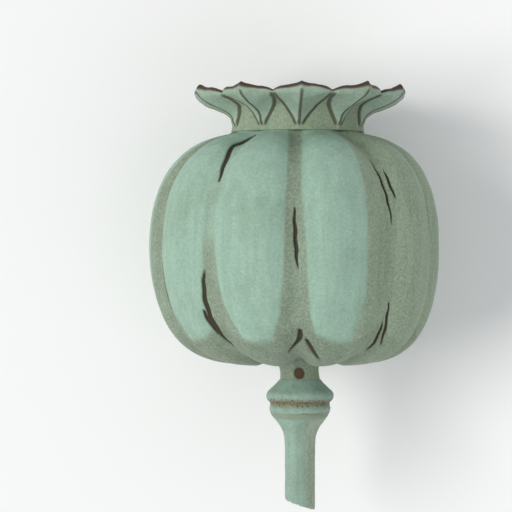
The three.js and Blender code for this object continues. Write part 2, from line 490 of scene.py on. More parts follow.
# %% Creases of each furrow
# Each stroke: start and end height, distance to the right at its start, middle and end, half width, all in mm
CREASES = {
    0: [(8.0, -4.6, -0.32, -0.1, 0.3, 0.3), (-13.9, -18.5, 0.1, 0.1, -2.0, 0.4),
        (-15.7, -19.2, 1.0, 1.75, 3.1, 0.4)],
    1: [(17.0, 3.0, -0.5, 0.4, 1.1, 0.28), (14.0, 8.0, 1.3, 1.7, 2.2, 0.24),
        (-8.8, -17.6, 1.0, 1.4, 2.1, 0.27), (-12.2, -18.9, 0.5, 0.8, 0.7, 0.27)],
    2: [(14.0, 1.0, 0.2, 0.5, 0.3, 0.26), (-4.0, -17.0, 0.0, -0.4, 0.6, 0.28)],
    3: [(16.0, 5.0, -0.4, 0.1, 0.0, 0.26), (3.0, -12.0, 0.3, 0.0, 0.4, 0.24)],
    4: [(15.0, -2.0, 0.1, -0.3, 0.2, 0.26), (-8.0, -17.0, 0.9, 0.6, -0.8, 0.28)],
    5: [(12.0, -9.0, -0.2, 0.3, -0.1, 0.26), (-14.5, -18.0, 0.2, 0.5, 1.8, 0.34)],
    6: [(17.0, 3.0, 0.3, 0.0, -0.3, 0.26), (0.0, -16.0, -0.1, 0.3, 0.1, 0.24)],
    7: [(16.0, 8.0, -0.9, -0.2, 0.0, 0.3), (4.0, -14.0, 0.0, -0.5, 0.2, 0.24)],
    8: [(15.0, 4.0, 0.0, 0.4, 0.1, 0.26), (-1.0, -17.0, 0.4, -0.4, 0.3, 0.28)],
    9: [(18.9, 11.0, -1.5, 0.0, 0.6, 0.46), (19.8, 18.0, 0.1, -0.6, -1.4, 0.44),
        (-2.8, -18.8, -0.55, -1.4, 0.7, 0.42), (-10.2, -15.6, -2.3, -1.7, -0.9, 0.34)],
}
CREASE_DEPTH = 0.42 * MM


def crease_weight(place, strokes):
    """1 along the strokes and 0 beside them, with tapered ends, and blunter ones on thick strokes."""
    across = radius_of(place) * angle_of(place) / MM
    height = place.y / MM
    wander = 0.07 * math.sin(1.9 * height + 0.7 * len(strokes))
    deepest = 0.0
    for start, end, first, middle, last, half_width in strokes:
        t = (height - start) / (end - start)
        if not 0 <= t <= 1:
            continue
        side = first * (1 - t) ** 2 + 2 * (2 * middle - (first + last) / 2) * t * (1 - t) + last * t**2
        taper = plateau(t, (0, 0.4), (0.6, 1))
        tip = 0.4 + 0.4 * smoothstep(half_width, 0.3, 0.4)
        away = abs(across - side - wander) / (half_width * (tip + (1.25 - tip) * taper))
        deepest = max(deepest, min(1.0, 5 * taper) * max(0.0, 1 - away**2))
    return deepest


print(sum(len(strokes) for strokes in CREASES.values()), "creases")

# %% [markdown]
# ## Copying the rib round
# The sector is modelled once and copied round. Each copy gets its own furrow depth, band and creases before
# it is turned to its place. The ring is joined at even steps, and then slid round to the furrows' own places.

# %% Ten ribs
def slide_round(piece, rule):
    """Slides each point round the axis to the angle that a rule gives for its place."""
    for vertex in piece.data.vertices:
        radius = radius_of(vertex.co)
        turned = rule(vertex.co)
        vertex.co = (radius * math.sin(turned), vertex.co.y, radius * math.cos(turned))


def uneven_angle(place, places):
    """Sectors are copied at even steps, and this is where such an angle belongs among the uneven places."""
    even = angle_of(place) % (2 * math.pi) / CARPEL
    k = min(int(even), CARPELS - 1)
    ends = places + [360]
    return math.radians(ends[k] + (ends[k + 1] - ends[k]) * (even - k))


def turned_copies(sector, places, vary):
    """Joins copies of a sector, each made a little different and turned to its place, into a ring."""
    copies = []
    for k in range(CARPELS):
        copy = sector.copy()
        copy.data = sector.data.copy()
        bpy.context.scene.collection.objects.link(copy)
        vary(copy, k)
        edit(copy)
        bpy.ops.mesh.select_all(action="SELECT")
        bpy.ops.transform.rotate(value=-k * CARPEL, orient_axis="Y", center_override=(0, 0, 0))
        copies.append(copy)
    name = sector.name
    bpy.data.objects.remove(sector)
    deselect_all()
    for copy in copies:
        copy.select_set(True)
    bpy.context.view_layer.objects.active = copies[0]
    bpy.ops.object.join()
    copies[0].name = name
    clean(copies[0])
    slide_round(copies[0], lambda place: uneven_angle(place, places))
    return copies[0]


def vary_rib(sector, k):
    """Furrows of unlike depth, each with its own band and creases."""
    def crease(place):
        return crease_weight(place, CREASES[k])

    # The band is partly thinner bloom and partly painted shade, and the base is painted shade.
    dye(sector, "furrow_tint", lambda place: band_weight(place, k))
    dye(sector, "base_shade_tint", base_shade)
    weigh(sector, "crease", crease)
    dye(sector, "crease_tint", crease)
    unlike = 0.12 * math.sin(2.7 * k + 0.4)
    push(sector, -FURROW_DEPTH * (1 + unlike), "furrow")
    push(sector, -CREASE_DEPTH, "crease")


pod = turned_copies(pod, FURROW_DEGREES, vary_rib)
print("the ring of ten has", len(pod.data.polygons), "faces")

# %% [markdown]
# ## Brown spot and painted side shade
# The foot stalk has one small brown spot, a scar that is sunk a little. On the head's right side, where the
# drawing has its shade, shade is painted into the colour. It starts with a clear border on the rib beside the
# top furrow and fades away underneath. Both are rules of place again, and only the spot changes the form.

# %% Spot and painted side shade
SPOT = Vector((-0.1 * MM, -21.4 * MM, FOOT_RADIUS))
SPOT_RADIUS = 1.25 * MM
SPOT_DEPTH = 0.18 * MM
SIDE_SHADE_FROM = 28.6  # degrees
SIDE_SHADE_SLIP = 3.5  # the border comes so much nearer to the top towards the base
SIDE_SHADE_HEIGHTS = (7 * MM, 13 * MM)
SIDE_SHADE_TO = (90, 150)  # degrees


def spot_weight(place):
    """1 on the spot's sunk middle and 0 outside it."""
    return 1 - smoothstep((place - SPOT).length, 0.6 * SPOT_RADIUS, SPOT_RADIUS)


def painted_side_shade(place):
    """1 on the side where shade is painted in, to the right of the top, and 0 elsewhere."""
    border = SIDE_SHADE_FROM - SIDE_SHADE_SLIP * smoothstep(-place.y, *SIDE_SHADE_HEIGHTS)
    return plateau(degrees_of(place), (border - 1, border + 1), SIDE_SHADE_TO)


weigh(pod, "spot", spot_weight)
# Painted shade on the head's right side.
dye(pod, "side_shade_tint", painted_side_shade)
dye(pod, "spot_tint", lambda place: max(0.0, 1 - (place - SPOT).length / SPOT_RADIUS))
push(pod, -SPOT_DEPTH, "spot")
print("the spot is", 2 * SPOT_RADIUS / MM, "mm across")

# %% [markdown]
# ## The pod's own shape
# No pod is a true solid of revolution. This one swells a little to the left of its stalk, its skin rises and
# sinks gently, and it is pressed flat on the two ribs that it lies on. The lean is a push to the side that
# is strongest at the belly, the unevenness a push by a soft noise, and the flat is made by raising what lies
# too low.

# %% Lean, unevenness and flat
POD_LEAN = 1.0 * MM
LEAN_TOP = 26 * MM
UNEVEN = 0.35 * MM
LUMP = 9 * MM
FREE_RADII = (12 * MM, 18 * MM)  # the neck and the foot stay even, because the other pieces join them


def lean_weight(place):
    """1 at the belly, dying away towards the crown and the foot."""
    end = LEAN_TOP if place.y > 0 else FOOT_END
    return max(0.0, 1 - (place.y / end) ** 2)


def pick(piece, rule):
    """Selects the vertices whose place passes the rule, and returns how many did."""
    mesh = bmesh.from_edit_mesh(piece.data)
    for face in mesh.faces:
        face.select = False
    for edge in mesh.edges:
        edge.select = False
    count = 0
    for vertex in mesh.verts:
        vertex.select = bool(rule(vertex.co))
        count += vertex.select
    mesh.select_flush(True)
    bmesh.update_edit_mesh(piece.data)
    return count


def put_in_place(piece):
    """Moves a finished mesh from the world's Y axis to the head's own. Its object stays at the origin."""
    edit(piece)
    bpy.ops.mesh.select_all(action="SELECT")
    bpy.ops.transform.translate(value=(AXIS_X, BELLY_Y, AXIS_Z))
    bpy.ops.object.mode_set(mode="OBJECT")
    bpy.ops.object.shade_smooth()
    print(piece.name, len(piece.data.vertices), "vertices,", len(piece.data.polygons), "faces")


weigh(pod, "lean", lean_weight)
push(pod, -POD_LEAN, "lean", "X")
weigh(pod, "free", lambda place: smoothstep(radius_of(place), *FREE_RADII))
push(pod, UNEVEN, "free", "NORMAL", cloud("soft_lumps", LUMP))
edit(pod)
low = pick(pod, lambda place: place.z < -AXIS_Z)
bpy.ops.transform.resize(value=(1, 1, 0), center_override=(0, 0, -AXIS_Z + 0.002 * MM))
bpy.ops.object.mode_set(mode="OBJECT")
print(low, "vertices pressed flat underneath")
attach(pod, "root")
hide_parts("capsule")
put_in_place(pod)

# %% [markdown]
# ## The crown's sections
# On the pod stands a short neck, which opens into a disc of ten pointed lobes, each folded along its middle
# like the bow of a boat. The neck is round, and the folds stand out from it. So the section between two lobes
# is turned first, and then the middle of each lobe is pulled outwards and upwards by weights, up to the
# keel's own section. The two are drawn ring for ring, so each weight is the share of the way between them.

# %% Crown sections
# Radius and height between two lobes, radius and height on the keel, mm, and how far round the folds reach
CROWN_RINGS = [
    (11.4, 19.9, 11.4, 19.9, 0.1),
    (11.3, 20.7, 11.5, 20.7, 0.12),
    (11.3, 21.7, 11.7, 21.6, 0.25),
    (11.4, 22.5, 12.1, 22.4, 0.4),
    (11.7, 23.3, 13.3, 23.2, 0.56),
    (12.4, 24.2, 15.7, 24.2, 0.74),
    (14.3, 25.0, 17.5, 25.2, 0.88),
    (16.3, 25.6, 18.8, 26.3, 0.94),
    (16.9, 26.0, 19.1, 27.1, 0.94),
    (16.5, 26.3, 18.4, 27.9, 0.94),
    (15.2, 26.1, 17.1, 26.8, 0.9),
    (12.8, 25.7, 14.4, 26.0, 0.8),
    (9.4, 25.4, 10.2, 25.5, 0.7),
    (5.5, 25.2, 5.9, 25.2, 0.6),
    (2.0, 25.1, 2.0, 25.1, 0.6),
    (0.0, 25.1, 0.0, 25.1, 0.6),
]
CROWN_STEPS = 5
EDGE_FROM, EDGE_TO = 7, 10  # the lobes stand free between these rows of the table
valley = curve_through(in_mm(row[:2] for row in CROWN_RINGS), CROWN_STEPS)
keel = curve_through(in_mm(row[2:4] for row in CROWN_RINGS), CROWN_STEPS)
reaches = [row[4] for row in CROWN_RINGS]
widest_pull = max(k[0] - v[0] for v, k in zip(valley, keel))
highest_pull = max(k[1] - v[1] for v, k in zip(valley, keel))
print("the keel stands out by", round(widest_pull / MM, 2), "mm and rises by", round(highest_pull / MM, 2))

# %% [markdown]
# ## How a lobe folds
# A lobe's two faces meet on the keel and run out on the neck, so the share of the pull falls evenly from the
# keel to the faces' lower edges. Above, the lobe's free edge has a curve of its own, with full shoulders and
# a small sharp point. Every rule looks up its row of the table from the ring that a vertex is on.

# %% Rules of the fold
def lobe_edge(share):
    """A lobe's free edge: 1 at its point, 0 at the notch, with full shoulders and a small sharp point."""
    return 0.5 * (1 - share**5) + 0.5 * (1 - share) ** 4


def reach_at(row):
    """How far round from the keel the two faces of a lobe reach, as a share of half a carpel."""
    low = min(int(row), len(reaches) - 2)
    return reaches[low] + (reaches[low + 1] - reaches[low]) * (row - low)


def on_edge(row):
    """1 where the lobes stand free of each other, and 0 on the neck and inside the disc."""
    return plateau(row, (EDGE_FROM - 1, EDGE_FROM), (EDGE_TO, EDGE_TO + 1))


def fold_share(row, share):
    """How far a place is pulled from the section between lobes to the keel's."""
    fold = max(0.0, 1 - share / reach_at(row))
    return fold + (lobe_edge(share) - fold) * on_edge(row)


def ring_of(place):
    """The ring of the turned section that a place is on."""
    here = (radius_of(place), place.y)
    return min(range(len(valley)), key=lambda i: abs(valley[i][0] - here[0]) + abs(valley[i][1] - here[1]))


def row_of(place):
    """The same as a row of the table, with parts of a row."""
    return ring_of(place) / CROWN_STEPS


def from_keel(place):
    """0 on the keel of a lobe and 1 midway between two lobes."""
    return min(1.0, abs(angle_of(place)) / (CARPEL / 2))


print("the free edge goes from", lobe_edge(1.0), "to", lobe_edge(0.0))

# %% [markdown]
# ## One lobe
# The section between two lobes is turned through one carpel. Its columns are gathered first, so that one of
# them runs along each lower edge of the faces and the fold stays sharp. Then each vertex gets its two pulls,
# outwards and upwards.

# %% One lobe
LOBE_COLUMNS = 56
FACE_SHARE = 0.65  # of the columns lie on the lobe's two faces, and the rest on the neck between lobes


def gathered_angle(place):
    """The angle that a column is moved to when it is gathered."""
    reach = reach_at(row_of(place))
    even = share_from_furrow(angle_of(place)) if abs(angle_of(place)) < CARPEL / 2 - 1e-5 else 1.0
    if even < FACE_SHARE:
        share = even / FACE_SHARE * reach
    else:
        share = reach + (even - FACE_SHARE) / (1 - FACE_SHARE) * (1 - reach)
    return math.copysign(share * CARPEL / 2, angle_of(place))


crown = outline("lobed_crown", [(0, NECK_START)] + valley, turned=CARPEL / 2)
spin(CARPEL, LOBE_COLUMNS)
clean(crown)
slide_round(crown, gathered_angle)
pull = {}
for vertex in crown.data.vertices:
    ring = ring_of(vertex.co)
    weight = fold_share(row_of(vertex.co), from_keel(vertex.co))
    pull[tuple(vertex.co)] = (
        weight * (keel[ring][0] - valley[ring][0]) / widest_pull,
        weight * (keel[ring][1] - valley[ring][1]) / highest_pull,
    )
weigh(crown, "out", lambda place: pull[tuple(place)][0])
weigh(crown, "up", lambda place: pull[tuple(place)][1])
print("one lobe has", len(crown.data.polygons), "faces")

# %% [markdown]
# ## Lines, rim and neck of a lobe
# Dark lines run along the keel and along the lower edges of the faces, and the rim is brown. On the neck
# between the lobes, under their faces, shade is painted in grey-green. The rows of the table tell where each
# of these masks starts and ends, so they are dyed while the lobe is still a plain turned section.

# %% Masks on a lobe
# Rows of the table, between which each mask rises or falls
LINES_FROM, LINES_TO = (0.6, 1.4), (6.8, 7.8)
FACE_FROM, FACE_TO = (1, 1.8), (6.4, 7.4)
RIM_ROW = 8.7
RIM_ROWS = 1.6
KEEL_LINE = 0.38 * MM
EDGE_LINE = 0.4 * MM
NECK_TOP = (24.5 * MM, 25.6 * MM)


def rim_weight(place):
    """1 along the rim, and 0 a little way below and above it."""
    return 1 - min(1.0, abs(row_of(place) - RIM_ROW) / RIM_ROWS)


def face_weight(place):
    """1 on a lobe's two faces, and 0 on the neck between lobes."""
    row = row_of(place)
    inside = 1 - smoothstep(from_keel(place), reach_at(row) - 0.01, reach_at(row) + 0.04)
    return inside * plateau(row, FACE_FROM, FACE_TO)


def line_weight(place):
    """Dark lines along the keel and just beside the lower edges of the lobe's faces."""
    row = row_of(place)
    radius = radius_of(place)
    on_keel = radius * abs(angle_of(place)) / KEEL_LINE
    past_edge = (abs(angle_of(place)) - reach_at(row) * CARPEL / 2) * radius / EDGE_LINE
    line = max(0.0, 1 - on_keel**2, 1 - (past_edge - 0.5) ** 2)
    return line * plateau(row, LINES_FROM, LINES_TO)


def neck_shade_weight(place):
    """1 on the neck between the lobes' faces, where shade is painted."""
    return (1 - face_weight(place)) * (1 - smoothstep(place.y, *NECK_TOP))


dye(crown, "rim_tint", rim_weight)
dye(crown, "keel_tint", line_weight)
# Painted shade on the neck between the lobes.
dye(crown, "neck_shade_tint", neck_shade_weight)
weigh(crown, "face", face_weight)
print("dark lines", KEEL_LINE / MM, "mm to either side of the keel")

# %% [markdown]
# ## Folding the lobe
# Now the weights are pushed. The faces first rise a small step from the neck, and then the keel is pulled out
# and up. On top, the disc sags a little between the rays. Fine veins run out from each ray there, and they
# need to know how far out and how far to the side a place was before the fold.

# %% Fold and sag
DISC_FROM = (EDGE_TO - 0.6, EDGE_TO + 0.8)
SAG_RADII = (1.5 * MM, 8 * MM)
SAG = 0.45 * MM
STEP_HEIGHT = 0.32 * MM


def disc_weight(place):
    """1 on top of the disc, inside the rim."""
    return smoothstep(row_of(place), *DISC_FROM)


def sag_weight(place):
    """1 midway between two rays on the disc, and 0 on the rays, in the middle and at the rim."""
    from_middle = smoothstep(radius_of(place), *SAG_RADII)
    return disc_weight(place) * from_middle * smoothstep(from_keel(place), 0.1, 1)


weigh(crown, "sag", sag_weight)
weigh(crown, "point", lambda place: smoothstep(pull[tuple(place)][0], 0.1, 0.9) * pull[tuple(place)][1])
dye(crown, "disc_tint", disc_weight)
dye(crown, "vein_out", lambda place: radius_of(place) / MM)
dye(crown, "vein_across", lambda place: radius_of(place) * abs(angle_of(place)) / MM)
push(crown, STEP_HEIGHT, "face", "Z")
push(crown, widest_pull, "out", "Z")
push(crown, highest_pull, "up", "Y")
push(crown, -SAG, "sag", "Y")
lobe_top = max(vertex.co.y for vertex in crown.data.vertices)
print("the lobe's point stands", round(lobe_top / MM, 2), "mm above the belly")

# %% [markdown]
# ## Ten unlike lobes
# The lobe is copied round as the rib was. Each copy leans a little to one side, and reaches out or up a
# little more or less, as the lobes in the picture do. A soft noise then crinkles the whole rim.

# %% Ten lobes
# How far each lobe's point moves to the right, outwards and upwards, mm, from the top one on towards +X
LOBE_TURNS = [
    (0.0, 0.0, -0.3), (0.2, 0.1, -0.25), (-0.5, -0.5, -0.3), (0.4, 0.2, 0.1), (-0.3, -0.3, 0.0),
    (0.2, 0.2, -0.2), (0.6, -0.2, 0.0), (-0.4, 0.1, -0.1), (0.3, -0.4, -0.3), (0.0, -0.1, -0.25),
]
RIM_RADII = (12 * MM, 17 * MM)
RIM_WAVES = 0.45 * MM
rim_noise = cloud("crinkle", 2.5 * MM)


def nudge(piece, k):
    """Moves the point of a lobe, or of its ray, as far as the table says."""
    for distance, direction in zip(LOBE_TURNS[k], "XZY"):
        push(piece, distance * MM, "point", direction)


def crinkle(piece):
    """Gives the rim its fine waves."""
    weigh(piece, "rim", lambda place: smoothstep(radius_of(place), *RIM_RADII))
    push(piece, RIM_WAVES, "rim", "Y", rim_noise)


crown = turned_copies(crown, RAY_DEGREES, nudge)
weigh(crown, "lean", lean_weight)
push(crown, -POD_LEAN, "lean", "X")
crinkle(crown)
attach(crown, "root")
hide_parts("crown")
put_in_place(crown)

# %% [markdown]
# ## The rays
# On the disc, a raised velvety ray runs from the middle to the point of each lobe: the poppy's stigma. It
# could be raised out of the lobe, but a strip of its own has steep sides and can be finer. The strip is drawn
# as a chain along the keel, pulled out sideways, narrowed towards the middle row by row, raised to a soft
# ridge with a groove along it, and given a wall by a Solidify modifier.

# %% One ray
RAY_ROW = 10  # the rays start at this row of the crown's table, and run to its middle
RAY_END = 0.5 * MM
RAY_HALF_WIDTH = 1.3 * MM
RAY_RAISE = 0.75 * MM
RAY_COLUMNS = 10
RAY_SINK = 0.12 * MM
RAY_WALL = 0.35 * MM
ray_line = [(r, h - RAY_SINK) for r, h in keel[RAY_ROW * CROWN_STEPS - 1:] if r > RAY_END]
ray_long = ray_line[0][0]


def ray_width(radius):
    """A ray's width at a distance from the axis, as a share of its widest."""
    outward = radius / ray_long
    return min(1.0, 0.2 + 1.3 * outward**0.8) * (1 - smoothstep(outward, 0.86, 1.04) * 0.75)


def ridge_weight(place):
    """A soft ridge with a groove along it, low at both ends."""
    width = RAY_HALF_WIDTH * ray_width(place.z)
    side = min(abs(place.x) / width, 1.0)
    ends = plateau(place.z, (0, 2 * MM), (0.97 * ray_long, 1.01 * ray_long))
    return (1 - side**2.5) * (1 - 0.35 * math.exp(-((side / 0.28) ** 2))) * (0.35 + 0.65 * ends)


rays = outline("rays", ray_line)
bpy.ops.transform.translate(value=(-RAY_HALF_WIDTH, 0, 0))
column = (2 * RAY_HALF_WIDTH / RAY_COLUMNS, 0, 0)
for _ in range(RAY_COLUMNS):
    bpy.ops.mesh.extrude_region_move(TRANSFORM_OT_translate={"value": column})
for radius, height in ray_line:
    pick(rays, lambda place: abs(place.z - radius) < 0.01 * MM)
    bpy.ops.transform.resize(value=(ray_width(radius), 1, 1), center_override=(0, height, radius))
clean(rays)
weigh(rays, "ridge", ridge_weight)
upward = 1 if rays.data.polygons[0].normal.y > 0 else -1
push(rays, upward * RAY_RAISE, "ridge")
wall = rays.modifiers.new("wall", "SOLIDIFY")
wall.thickness = RAY_WALL
wall.offset = -upward
bpy.ops.object.modifier_apply(modifier=wall.name)
clean(rays)
dye(rays, "keel_tint", lambda place: 1 - min(1.0, abs(place.x) / (0.35 * RAY_HALF_WIDTH)))
print("one ray has", len(rays.data.polygons), "faces")

# %% [markdown]
# ## Ten rays
# The rays follow their lobes, so they take the same small turns. The velvet is thousands of tiny knobs: a
# finer mesh and a push by a fine noise give them real relief.

# %% Ten rays
RAY_POINT = (11 * MM, 18 * MM)
VELVET = 0.16 * MM
KNOB = 0.35 * MM


def round_off(piece, levels):
    """Smooths the piece with a Subdivision Surface modifier, and applies it."""
    choose(piece)
    smooth = piece.modifiers.new("round_off", "SUBSURF")
    smooth.levels = levels
    smooth.render_levels = levels
    bpy.ops.object.modifier_apply(modifier=smooth.name)


weigh(rays, "point", lambda place: smoothstep(place.z, *RAY_POINT))
rays = turned_copies(rays, RAY_DEGREES, nudge)
round_off(rays, 1)
crinkle(rays)
push(rays, VELVET, "", "NORMAL", cloud("velvet", KNOB, 1))
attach(rays, "root")
put_in_place(rays)

# %% [markdown]
# ## The stalk
# The flower's sepals, petals and stamens stood on a swelling of the stalk, the receptacle, and fell off when
# the pod set. They left two rings with a groove between them. The whole piece is one outline, turned once
# round, which starts in the middle of the cut. There the pith is hollowed.

# %% Stalk and receptacle
STALK_RADIUS = 2.5 * MM
STALK_END = -44.1 * MM
STALK_TOP = -22.45 * MM
STALK_STEPS = 192
# Radius and height up the stalk, and how far the pith's surface lies inside the cut, mm
STALK_POINTS = [
    (2.4, -44.05), (2.58, -43.6), (2.6, -42.0), (2.58, -38.1), (2.6, -34.5), (2.68, -33.0), (2.8, -32.2),
    (3.1, -31.3), (3.6, -30.4), (4.25, -29.5), (4.85, -28.7), (5.1, -28.1), (5.22, -27.5), (5.1, -26.95),
    (5.15, -26.5), (5.6, -26.0), (5.78, -25.4), (5.6, -24.75), (5.0, -24.1), (4.2, -23.3), (3.6, -22.65),
    (3.35, -22.45),
]
PITH_POINTS = [(0, 1.3), (0.35, 1.15), (0.8, 0.45), (1.3, 0.15), (2.0, 0)]

stalk_section = curve_through(in_mm(STALK_POINTS), 6)
pith = curve_through([(r * MM, STALK_END + h * MM) for r, h in PITH_POINTS], 4)
stem = outline("stalk", pith + stalk_section + [(0, STALK_TOP)])
spin(2 * math.pi, STALK_STEPS)
clean(stem)
print("the stalk has", len(stem.data.polygons), "faces")

# %% [markdown]
# ## Scars and ridges
# The stamens left a band of small pits under the upper ring, no two alike, and the petals a thin crease under
# the lower one. The stalk has faint ridges along it. Each is a weight again, pressed in a little, and the
# skin is made softly uneven at the end. On the right side, shade is painted into the colour, as on the pod.

# %% Scars and ridges
PIT_ROWS = [-25.95 * MM, -26.4 * MM, -26.85 * MM]
PITS_IN_ROW = 37
PIT_RADIUS = 0.2 * MM
SCAR_HEIGHT = -28.45 * MM
SCAR_WIDTH = 0.2 * MM
SCAR_DEPTH = 0.12 * MM
STALK_RIDGES = 9
RIDGE_DEPTH = 0.05 * MM
STALK_UNEVEN = 0.16 * MM
STALK_LUMP = 2.2 * MM
SHAFT_TOP = (-28.4 * MM, -27.4 * MM)
SHAFT_FROM, SHAFT_TO = (17, 27), (100, 160)  # degrees


def scatter(seed):
    """A number from 0 to 1 that looks random, and is the same in every run."""
    return math.sin(seed * 12.9898) * 43758.5453 % 1


def turn_of(place, count):
    """How far round a place is, counted in so many equal steps."""
    return angle_of(place) % (2 * math.pi) / (2 * math.pi) * count


def pit_weight(place):
    """1 in the middle of each pit and 0 between them."""
    deepest = 0.0
    radius = radius_of(place)
    for row, height in enumerate(PIT_ROWS):
        if abs(place.y - height) > 2 * PIT_RADIUS:
            continue
        turn = turn_of(place, PITS_IN_ROW) + 0.5 * row
        seed = int(turn) + 100 * row
        across = (turn % 1 - 0.3 - 0.4 * scatter(seed)) * 2 * math.pi / PITS_IN_ROW * radius
        along = place.y - height - (scatter(seed + 0.5) - 0.5) * 0.25 * MM
        size = PIT_RADIUS * (0.5 + 0.9 * scatter(seed + 0.25))
        deepest = max(deepest, 1 - (across**2 + along**2) / size**2)
    return deepest


def scar_crease(place):
    """A thin crease under the lower ring, which fades out here and there."""
    wander = 0.1 * MM * math.sin(3 * angle_of(place) + 1) + 0.04 * MM * math.sin(11 * angle_of(place))
    strength = 0.55 + 0.45 * math.sin(2 * angle_of(place) + 0.9)
    return strength * max(0.0, 1 - ((place.y - SCAR_HEIGHT - wander) / SCAR_WIDTH) ** 2)


def ridge_valley(place):
    """1 in the valleys between the ridges of the stalk."""
    on_shaft = 1 - smoothstep(place.y, -32 * MM, -29 * MM)
    off_cut = smoothstep(place.y, STALK_END, STALK_END + 1 * MM)
    return on_shaft * off_cut * (0.5 + 0.5 * math.cos(STALK_RIDGES * angle_of(place)))


def stalk_side_shade(place):
    """1 on the stalk's right side, where shade is painted into the colour, as on the pod."""
    return plateau(degrees_of(place), SHAFT_FROM, SHAFT_TO) * (1 - smoothstep(place.y, *SHAFT_TOP))


weigh(stem, "pits", pit_weight)
weigh(stem, "scar", scar_crease)
dye(stem, "crease_tint", lambda place: 0.8 * max(pit_weight(place), scar_crease(place)))
# Painted shade on the stalk's right side.
dye(stem, "side_shade_tint", stalk_side_shade)
weigh(stem, "ridges", ridge_valley)
push(stem, -SCAR_DEPTH, "pits")
push(stem, -SCAR_DEPTH, "scar")
push(stem, -RIDGE_DEPTH, "ridges")
weigh(stem, "skin", lambda place: smoothstep(place.y, STALK_END, STALK_END + 2 * MM))
push(stem, STALK_UNEVEN, "skin", "NORMAL", cloud("stem_lumps", STALK_LUMP))
print(len(PIT_ROWS) * PITS_IN_ROW, "pits and", STALK_RIDGES, "ridges")

# %% [markdown]
# ## Groove colour and painted shadow
# The groove between the rings is brown, and a shadow is painted in a duller green into the hollow under the
# lower ring. Both are masks for the colours only.

# %% Masks on the stalk
GROOVE = -26.45 * MM
GROOVE_WIDTH = 0.6 * MM
UNDER_FROM, UNDER_TO = (-29.4 * MM, -29.0 * MM), (-28.35 * MM, -27.95 * MM)


def under_ring_shadow(place):
    """1 in the hollow under the lower ring, where a shadow is painted."""
    return plateau(place.y + 0.12 * MM * math.sin(2 * angle_of(place) + 2), UNDER_FROM, UNDER_TO)


def groove_weight(place):
    """1 at the bottom of the groove between the rings."""
    return math.exp(-(((place.y - GROOVE) / GROOVE_WIDTH) ** 2))


# Painted shadow in the hollow under the lower ring.
dye(stem, "under_ring_shadow_tint", under_ring_shadow)
dye(stem, "scar_tint", groove_weight)
print("the groove is at", round(GROOVE / MM, 2), "mm")

# %% [markdown]
# ## The cut
# The cut is slanted and ragged, lower on the right, as one made with a knife that tears the last strands. In
# its pale pith, a ring of sap strands ends in small dots round a hollow middle. The slant is a push along the
# axis that dies away up the stalk, and the torn edge is a push by a fine noise.

# %% Cut
CUT_SLANT = 0.36
CUT_REACH = 4 * MM
PITH_RADIUS = 2.2 * MM
HOLLOW_RADII = (0.3 * MM, 1.0 * MM)
BUNDLES = 17
BUNDLE_RING = 1.7 * MM
BUNDLE_RADII = (0.08 * MM, 0.2 * MM)
TORN = 0.6 * MM
TORN_RADII = (0.5 * MM, 2 * MM)


def cut_fade(place):
    """1 on the cut, dying away up the stalk."""
    return max(0.0, 1 - (place.y - STALK_END) / CUT_REACH)


def on_cut(place):
    """1 on the pith, inside the rim of the cut."""
    return 1 if radius_of(place) < PITH_RADIUS and place.y < STALK_END + CUT_REACH else 0


def bundle_weight(place):
    """The ends of the sap strands, a ring of small dots on the cut, no two alike."""
    if not on_cut(place):
        return 0.0
    radius = radius_of(place)
    turn = turn_of(place, BUNDLES)
    seed = int(turn) + 300
    across = (turn % 1 - 0.4 - 0.2 * scatter(seed)) * 2 * math.pi / BUNDLES * radius
    outward = radius - BUNDLE_RING - (scatter(seed + 0.5) - 0.5) * 0.25 * MM
    return 1 - smoothstep(math.hypot(across, outward), *BUNDLE_RADII)


def hollow_weight(place):
    """1 in the middle of the pith."""
    return on_cut(place) * (1 - smoothstep(radius_of(place), *HOLLOW_RADII))


def torn_weight(place):
    """1 at the rim of the cut."""
    return cut_fade(place) ** 6 * smoothstep(radius_of(place), *TORN_RADII)


dye(stem, "cut_tint", on_cut)
dye(stem, "strand_tint", bundle_weight)
dye(stem, "hollow_tint", hollow_weight)
weigh(stem, "slant", lambda place: cut_fade(place) * (0.5 + place.x / (2 * STALK_RADIUS)))
weigh(stem, "cut", cut_fade)
weigh(stem, "strands", torn_weight)
push(stem, -2 * CUT_SLANT * STALK_RADIUS, "slant", "Y")
push(stem, CUT_SLANT * STALK_RADIUS, "cut", "Y")
push(stem, TORN, "strands", "Y", cloud("torn_strands", TORN))
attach(stem, "root")
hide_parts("stem")
put_in_place(stem)

# %% [markdown]
# ## Wiring up colours
# Colours are given as they look on screen. The materials are built of small nodes, so a few short ways to add
# and join them keep the rest readable.

# %% Colours and wiring
def srgb(red, green, blue):
    """A colour given as it looks on screen, 0 to 255, in the renderer's own terms."""
    def linear(value):
        value /= 255
        return value / 12.92 if value <= 0.04045 else ((value + 0.055) / 1.055) ** 2.4

    return (linear(red), linear(green), linear(blue), 1)


